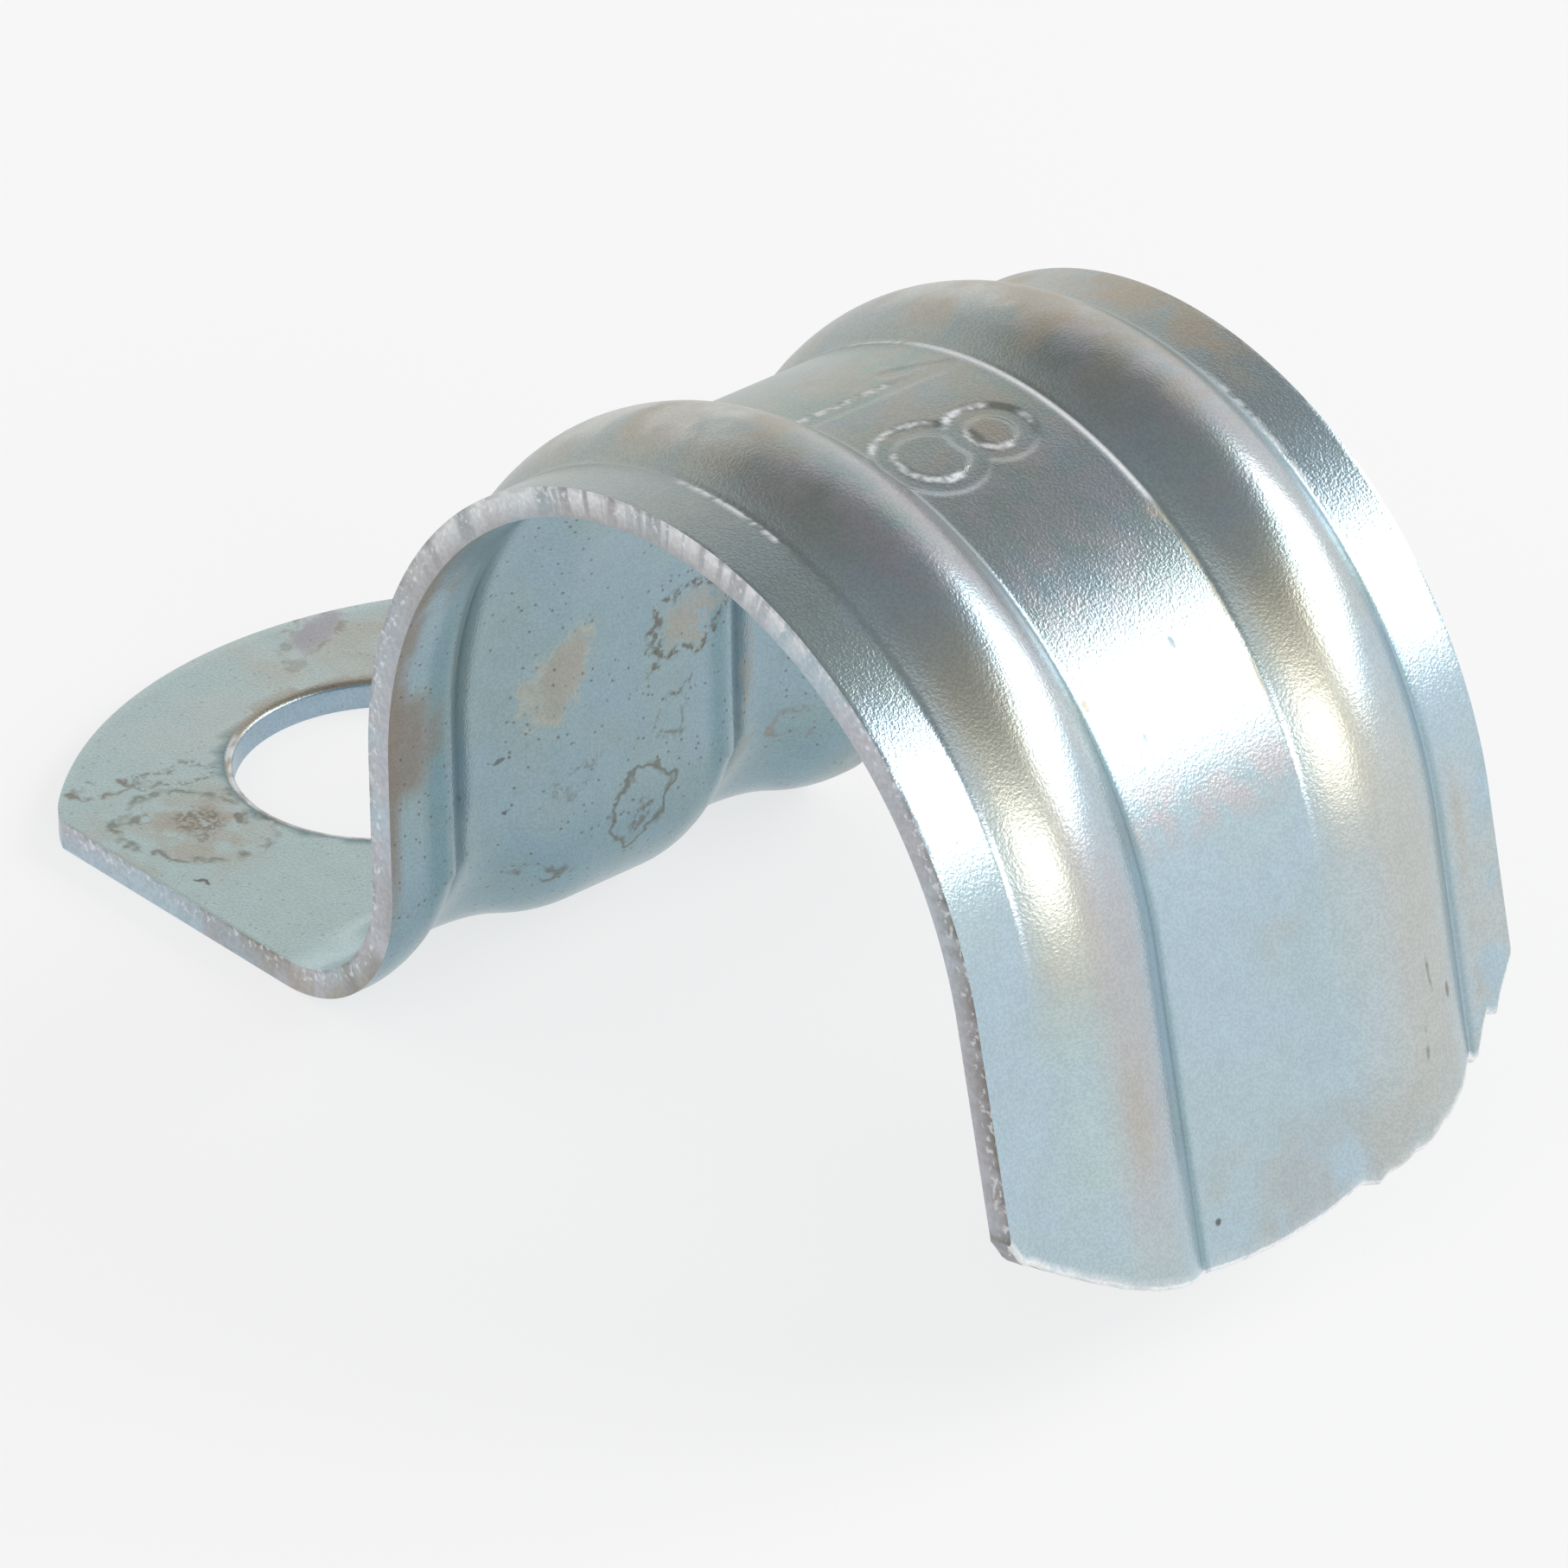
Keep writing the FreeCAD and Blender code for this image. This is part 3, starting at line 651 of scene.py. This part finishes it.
def paintStrip(strip):
    # Every face corner keeps its tint, and every point its place on the strip.
    mesh = strip.data
    places = [Vector(stripPlaceOf(*(vertex.co / mm))) for vertex in mesh.vertices]
    colours, paintedGlints, known = [], [], {}
    for face in mesh.polygons:
        side = sides[face.material_index]
        for corner in face.loop_indices:
            index = mesh.loops[corner].vertex_index
            if (side, index) not in known:
                place, solid = places[index], mesh.vertices[index].co / mm
                colour, dull, paintedGlint = tintAt(side, place, solid)
                left = legStart + legEndAt(place.y) - place.x
                if place.x > legStart and left < wear["tip"]:
                    colour, paintedGlint = tipTint(side, left, solid, colour, paintedGlint)
                out = solid.xy.length - strap["holeRadius"]
                if side == "outer" and out < wear["holeRim"]:
                    colour, paintedGlint = holeTint(out, solid, paintedGlint)
                known[side, index] = (*colour, dull), paintedGlint
            colours.extend(known[side, index][0])
            paintedGlints.append(known[side, index][1])
    for name, kind, domain, field, values in (
            ("stripPlace", "FLOAT_VECTOR", "POINT", "vector", [part * mm for place in places for part in place]),
            ("tint", "FLOAT_COLOR", "CORNER", "color", colours), ("paintedGlint", "FLOAT", "CORNER", "value", paintedGlints)):
        mesh.attributes.new(name, kind, domain)
        mesh.attributes[name].data.foreach_set(field, values)


def addNode(tree, kind, inputs, **settings):
    node = tree.nodes.new("ShaderNode" + kind)
    for name, value in settings.items():
        setattr(node, name, value)
    for name, value in inputs.items():
        if isinstance(value, bpy.types.NodeSocket):
            tree.links.new(value, node.inputs[name])
        else:
            node.inputs[name].default_value = value
    return node


def combine(tree, operation, first, second):
    return addNode(tree, "Math", {0: first, 1: second}, operation=operation).outputs[0]


def moved(tree, operation, inputs):
    return addNode(tree, "VectorMath", inputs, operation=operation).outputs["Vector"]


def rise(tree, value, low, high, most=1.0):
    # 0 below low and most above high, or the other way round where low is the larger.
    node = addNode(tree, "MapRange", {"Value": value}, interpolation_type="SMOOTHSTEP")
    if low < high:
        ranges = (low, high, 0, most)
    else:
        ranges = (high, low, most, 0)
    for name, number in zip(("From Min", "From Max", "To Min", "To Max"), ranges):
        node.inputs[name].default_value = number
    return node.outputs["Result"]


def noiseOf(tree, place, size, detail=2.0):
    return addNode(tree, "TexNoise", {"Vector": place, "Scale": 1 / (size * mm), "Detail": detail, "Roughness": 0.6})


def blend(tree, share, first, second, kind="MIX"):
    inputs = {"Fac": share, "Color1": first, "Color2": second}
    return addNode(tree, "MixRGB", inputs, blend_type=kind).outputs["Color"]


# How a spot ends, where 1 is its outline, and where a broken one shows.
spotEdge = {
    "outside": 1.3,
    "inside": 0.6,
    "lineInside": 0.1,
    "broken": (0.4, 0.58),
}


def addSpots(tree, surface, colour, dull, spots):
    # Each spot: along, across, half length, half width, turn in degrees, width of its line (0 fills it), colour,
    # share, and the cloud that breaks it.
    for along, across, long, wide, turn, line, name, share, broken in spots:
        at = addNode(tree, "Mapping", {"Vector": surface["warped"], "Location": (along * mm, across * mm, 0),
                                       "Rotation": (0, 0, math.radians(turn)), "Scale": (long * mm, wide * mm, 1)},
                     vector_type="TEXTURE").outputs["Vector"]
        reach = addNode(tree, "VectorMath", {0: at}, operation="LENGTH").outputs["Value"]
        if line:
            gap = combine(tree, "ABSOLUTE", combine(tree, "SUBTRACT", reach, 1.0), 0.0)
            line /= min(long, wide)
            mask = rise(tree, gap, spotEdge["outside"] * line, spotEdge["lineInside"] * line, share)
        else:
            mask = rise(tree, reach, spotEdge["outside"], spotEdge["inside"], share)
        if broken:
            mask = combine(tree, "MULTIPLY", mask, rise(tree, surface[broken], *spotEdge["broken"]))
        colour = blend(tree, mask, colour, colourOf(name))
        dull = combine(tree, "MAXIMUM", dull, mask)
    return colour, dull


def readSurface(tree, pulled):
    # What the patterns on the strip read: its tint, its place along and across, and two kinds of fine cloud. Where it
    # is pulled, stains get a ragged outline.
    tint = addNode(tree, "Attribute", {}, attribute_name="tint")
    stripPlace = addNode(tree, "Attribute", {}, attribute_name="stripPlace").outputs["Vector"]
    place = addNode(tree, "TexCoord", {}).outputs["Object"]
    ragged = noiseOf(tree, place, finish["raggedSize"])
    warped = stripPlace
    if pulled:
        pull = moved(tree, "SUBTRACT", {0: ragged.outputs["Color"], 1: (0.5, 0.5, 0.5)})
        pull = moved(tree, "SCALE", {0: pull, "Scale": finish["raggedPull"] * mm})
        warped = moved(tree, "ADD", {0: stripPlace, 1: pull})
    warped = moved(tree, "MULTIPLY", {0: warped, 1: (1, 1, 0)})
    specks = noiseOf(tree, place, finish["speckSize"]).outputs["Fac"]
    return {"place": place, "strip": stripPlace, "tint": tint.outputs["Color"], "dull": tint.outputs["Alpha"],
            "ragged": ragged.outputs["Fac"], "specks": specks, "warped": warped}


def finishSurface(tree, shader, surface, colour, dull, grainSize, grainHeight):
    # Fine light and dark mottling, dull where it is stained, and not metallic under a painted highlight, so it shows
    # bright.
    mottle = rise(tree, surface["ragged"], *finish["mottle"])
    colour = blend(tree, mottle, colour, finish["mottleDark"], "MULTIPLY")
    grain = noiseOf(tree, surface["place"], grainSize, 1.0).outputs["Fac"]
    colour = blend(tree, rise(tree, grain, *finish["grainShade"]), colour, finish["grainDark"], "MULTIPLY")
    tree.links.new(colour, shader.inputs["Base Color"])
    roughness = addNode(tree, "MapRange", {"Value": dull, "To Min": finish["polish"], "To Max": finish["dull"]})
    tree.links.new(roughness.outputs["Result"], shader.inputs["Roughness"])
    paintedGlint = addNode(tree, "Attribute", {}, attribute_name="paintedGlint").outputs["Fac"]
    tree.links.new(combine(tree, "SUBTRACT", 1.0, paintedGlint), shader.inputs["Metallic"])
    bump = addNode(tree, "Bump", {"Height": grain, "Strength": 1.0, "Distance": grainHeight * mm})
    tree.links.new(bump.outputs["Normal"], shader.inputs["Normal"])


def addPits(tree, surface, colour, share):
    # Fine dark pits, thicker in some places than in others.
    pits = addNode(tree, "TexVoronoi", {"Vector": surface["place"], "Scale": 1 / (finish["pitSpacing"] * mm)})
    dots = rise(tree, pits.outputs["Distance"], *finish["pitEdge"], share)
    chosen = addNode(tree, "SeparateXYZ", {"Vector": pits.outputs["Color"]}).outputs["X"]
    dots = combine(tree, "MULTIPLY", dots, rise(tree, chosen, *finish["pitChosen"]))
    return blend(tree, dots, colour, colourOf("umber"))


def makeZinc(name, spots, pitShare):
    material, tree, shader = newMaterial(name)
    surface = readSurface(tree, pitShare > 0)
    colour, dull = addSpots(tree, surface, surface["tint"], surface["dull"], spots)
    if pitShare:
        colour = addPits(tree, surface, colour, pitShare)
    finishSurface(tree, shader, surface, colour, dull, finish["grainSize"], finish["grainHeight"])
    return material


# The sheared edge: the half beside the outer face is torn and has painted glints as white specks, and its corner is
# dark in places.
shear = {
    "grainSize": 0.11,
    "grainHeight": 0.014,
    # colour, the depths in mm where it starts and is full, share, the cloud that breaks it, and from and to of that
    "layers": (("umber", 0.12, 0.04, 0.3, "ragged", 0.55, 0.4), ("white", 0.4, 0.3, 0.5, "specks", 0.54, 0.64)),
}


def makeShearedEdge():
    material, tree, shader = newMaterial("shearedEdge")
    surface = readSurface(tree, False)
    depth = addNode(tree, "SeparateXYZ", {"Vector": surface["strip"]}).outputs["Z"]
    colour = surface["tint"]
    for name, start, full, share, clouds, low, high in shear["layers"]:
        layer = rise(tree, depth, start * mm, full * mm, share)
        layer = combine(tree, "MULTIPLY", layer, rise(tree, surface[clouds], low, high))
        colour = blend(tree, layer, colour, colourOf(name))
    finishSurface(tree, shader, surface, colour, surface["dull"], shear["grainSize"], shear["grainHeight"])
    return material


# Along the strip, a height z on the wall is wallShift + z and a place x on the lug is lugShift + x.
wallShift = archBack - strap["axisZ"]
lugShift = lugStart - foldX

lugSpots = (
    (lugShift - 5.42, 2.5, 0.42, 1.1, 28, 0, "lilac", 0.85, None),
    (lugShift - 5.42, 2.5, 0.5, 1.2, 28, 0.12, "brown", 0.55, "ragged"),
    (lugShift - 4.56, 1.21, 0.22, 0.3, 0, 0, "brown", 0.4, None),
    (lugShift - 0.3, -4.95, 1.35, 1.2, 20, 0, "tan", 0.5, "ragged"),
    (lugShift - 0.55, -4.8, 0.55, 0.62, 30, 0, "umber", 0.6, "specks"),
    (lugShift - 0.45, -4.95, 1.75, 1.4, 25, 0.14, "umber", 0.55, "ragged"),
    (lugShift - 2.5, -4.0, 0.38, 0.85, -20, 0.11, "umber", 0.5, "specks"),
    (lugShift - 3.05, -5.5, 0.3, 0.6, -20, 0.13, "brown", 0.8, "ragged"),
    (lugShift - 1.5, -5.75, 0.25, 0.3, 0, 0, "umber", 0.55, "ragged"),
    (lugShift - 0.05, -3.85, 0.16, 0.32, 50, 0, "umber", 0.6, "ragged"),
    (lugShift + 1.42, -6.24, 0.11, 0.12, 0, 0, "sootAndShade", 0.7, None),
)
archSpots = (
    (7.55, 0.58, 0.16, 0.07, 0, 0, "sootAndShade", 0.55, None),
    (9.08, -1.05, 0.12, 0.06, 0, 0, "sootAndShade", 0.45, None),
    (8.01, -2.05, 0.18, 0.09, 0, 0, "tan", 0.8, None),
    (19.4, -1.68, 0.08, 0.08, 0, 0, "sootAndShade", 0.8, None),
    (16.0, 4.2, 0.4, 0.05, 5, 0, "umber", 0.6, "ragged"),
    (17.4, 3.9, 0.5, 0.05, -5, 0, "umber", 0.5, "ragged"),
    (16.6, 4.75, 0.18, 0.07, 0, 0, "umber", 0.6, None),
)
innerSpots = (
    (-14.75, -2.2, 1.2, 0.6, 24, 0, "tan", 0.65, None),
    (-14.75, -2.2, 1.2, 0.66, 24, 0.16, "gold", 0.4, "ragged"),
    (-14.55, 1.35, 0.7, 0.9, -20, 0, "tan", 0.6, "ragged"),
    (-14.55, 1.3, 0.85, 1.15, -20, 0.14, "umber", 0.75, "specks"),
    (-15.5, 0.45, 0.1, 0.6, -30, 0, "umber", 0.65, "specks"),
    (-16.25, 1.1, 0.08, 0.5, -25, 0, "umber", 0.55, "specks"),
    (-16.9, 0.75, 0.5, 0.42, 0, 0.1, "umber", 0.5, "specks"),
    (wallShift + 3.48, -0.12, 0.72, 0.82, -28, 0.09, "umber", 0.65, None),
    (wallShift + 3.2, -0.1, 0.25, 0.35, -40, 0, "umber", 0.6, "specks"),
    (wallShift + 2.42, -2.35, 0.22, 0.42, -10, 0.1, "umber", 0.6, "ragged"),
    (wallShift + 4.7, -1.85, 0.25, 0.55, -30, 0.08, "umber", 0.35, "specks"),
    (wallShift + 5.48, -3.44, 0.08, 0.14, 0, 0, "sootAndShade", 0.6, None),
    (wallShift + 4.19, -3.39, 0.07, 0.07, 0, 0, "sootAndShade", 0.7, None),
    (wallShift + 5.34, -4.76, 0.07, 0.07, 0, 0, "sootAndShade", 0.7, None),
    (wallShift + 3.3, 4.6, 0.4, 0.4, 0, 0.12, "brown", 0.6, "ragged"),
)
zincArch = makeZinc("zincArch", archSpots, 0.0)
zincInner = makeZinc("zincInner", innerSpots, 0.7)
shearedEdge = makeShearedEdge()
zincLug = makeZinc("zincLug", lugSpots, 0.3)
finishes = (zincArch, zincInner, shearedEdge, zincLug)

strip = addStrip()
outerCount = len(strip.data.vertices)
for material in finishes:
    strip.data.materials.append(material)
print("blank bent:", len(strip.data.polygons), "faces")
applyModifier(strip, "SOLIDIFY", "sheet", thickness=strap["sheet"] * mm, offset=-1, use_even_offset=True,
              material_offset=slots["inner"], material_offset_rim=slots["rim"])
pressNumber(strip, outerCount)
rollTip(strip, outerCount)
applyModifier(strip, "BEVEL", "brokenEdges", width=ends["broken"] * mm, segments=ends["brokenSteps"],
              limit_method="ANGLE", angle_limit=math.radians(ends["brokenFrom"]), material=slots["rim"])
punchHole(strip)
for face in strip.data.polygons:
    onLug = face.center.x < (strap["axisX"] - strap["seatRadius"]) * mm and face.center.z < foldZ * mm
    if onLug and face.material_index == slots["arch"]:
        face.material_index = slots["lug"]
paintStrip(strip)
makeActive(strip)
bpy.ops.object.shade_smooth_by_angle(angle=math.radians(ends["smoothTo"]))
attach(strip, "root")
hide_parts("strap")
print("strap made:", len(strip.data.polygons), "faces")

# The camera's place is in millimetres from the strap's origin. The floor and the soft boxes are in metres.
studio = {
    "floorSize": 3.0,
    "floorGap": 0.00002,                         # keeps the floor off the lug's own face
    "floorColour": (0.9, 0.9, 0.9, 1),
    "floorRoughness": 0.9,
    "floorGlow": 0.7,                            # how far the floor turns plain white where it is looked at
    "target": (13.358, 0, 5.798),
    "azimuth": 49.247,
    "elevation": 30.391,
    "roll": -0.659,
    "distance": 256.58,
    "lens": 280.87,
    "sensor": 36,
    "clip": (0.01, 10),
    "boxDistance": 0.6,
    # azimuth and elevation seen from the strap, width and height in degrees, radiance
    "softBoxes": {
        "boxRight": (57, 33.5, 54, 25, 3.0),
        "boxNear": (-15, 19.5, 36, 16, 3.0),
    },
    # height over the horizon, as the sine of the angle, and how bright the room is there
    "room": ((0.0, 1.0), (0.08, 1.0), (0.45, 0.95), (0.62, 0.8), (0.78, 0.38), (0.9, 0.35), (1.0, 0.35)),
}


def addFloor():
    deselectAll()
    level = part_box("strap")[0].z - studio["floorGap"]
    bpy.ops.mesh.primitive_plane_add(size=studio["floorSize"], location=(0, 0, level))
    floor = bpy.context.object
    floor.name = "floor"
    material, tree, shader = newMaterial("paleFloor")
    shader.inputs["Base Color"].default_value = studio["floorColour"]
    shader.inputs["Roughness"].default_value = studio["floorRoughness"]
    shader.inputs["Specular IOR Level"].default_value = 0
    rays = addNode(tree, "LightPath", {})
    # Looked at, straight or through a reflection, the floor turns paler than its own light would make it.
    looked = combine(tree, "MAXIMUM", rays.outputs["Is Camera Ray"], rays.outputs["Is Glossy Ray"])
    looked = combine(tree, "MAXIMUM", looked, rays.outputs["Is Transmission Ray"])
    share = combine(tree, "MULTIPLY", looked, studio["floorGlow"])
    glow = addNode(tree, "Emission", {"Color": (1, 1, 1, 1), "Strength": 1.0})
    mixed = addNode(tree, "MixShader", {0: share, 1: shader.outputs["BSDF"], 2: glow.outputs["Emission"]})
    tree.links.new(mixed.outputs["Shader"], tree.nodes["Material Output"].inputs["Surface"])
    material.cycles.emission_sampling = "NONE"
    floor.data.materials.append(material)


def addWorld():
    world = bpy.data.worlds.new("room")
    bpy.context.scene.world = world
    world.use_nodes = True
    world.cycles.sampling_method = "NONE"
    tree = world.node_tree
    place = addNode(tree, "TexCoord", {})
    split = addNode(tree, "SeparateXYZ", {"Vector": place.outputs["Generated"]})
    ramp = addNode(tree, "ValToRGB", {"Fac": split.outputs["Z"]})
    stops = studio["room"]
    ramp.color_ramp.elements[0].position = stops[0][0]
    ramp.color_ramp.elements[1].position = stops[-1][0]
    for stop in stops[1:-1]:
        ramp.color_ramp.elements.new(stop[0])
    for element, stop in zip(ramp.color_ramp.elements, stops):
        element.color = (*[stop[1]] * 3, 1)
    tree.links.new(ramp.outputs["Color"], tree.nodes["Background"].inputs["Color"])


def addSoftBox(name, azimuth, elevation, wide, high, level):
    turn, lift = math.radians(azimuth), math.radians(elevation)
    away = Vector((math.cos(turn) * math.cos(lift), math.sin(turn) * math.cos(lift), math.sin(lift)))
    reach = studio["boxDistance"]
    lamp = bpy.data.lights.new(name, "AREA")
    lamp.shape = "RECTANGLE"
    lamp.size = 2 * reach * math.tan(math.radians(wide / 2))
    lamp.size_y = 2 * reach * math.tan(math.radians(high / 2))
    lamp.energy = level * lamp.size * lamp.size_y * math.pi
    box = bpy.data.objects.new(name, lamp)
    box.location = Vector(studio["target"]) * mm + away * reach
    box.rotation_euler = (-away).to_track_quat("-Z", "Y").to_euler()
    box.visible_camera = False
    bpy.context.scene.collection.objects.link(box)


def addCamera():
    turn, lift = math.radians(studio["azimuth"]), math.radians(studio["elevation"])
    roll = Euler((0, 0, math.radians(studio["roll"]))).to_matrix()
    back = Vector((math.sin(turn) * math.cos(lift), -math.cos(turn) * math.cos(lift), math.sin(lift)))
    data = bpy.data.cameras.new("camera")
    data.lens = studio["lens"]
    data.sensor_width = studio["sensor"]
    data.clip_start, data.clip_end = studio["clip"]
    camera = bpy.data.objects.new("camera", data)
    camera.location = (Vector(studio["target"]) + back * studio["distance"]) * mm
    camera.rotation_euler = (Euler((math.pi / 2 - lift, 0, turn)).to_matrix() @ roll).to_euler()
    bpy.context.scene.collection.objects.link(camera)
    bpy.context.scene.camera = camera


addFloor()
addWorld()
for name, values in studio["softBoxes"].items():
    addSoftBox(name, *values)
addCamera()
bpy.context.scene.view_settings.view_transform = "Standard"
print("floor, light and camera placed")
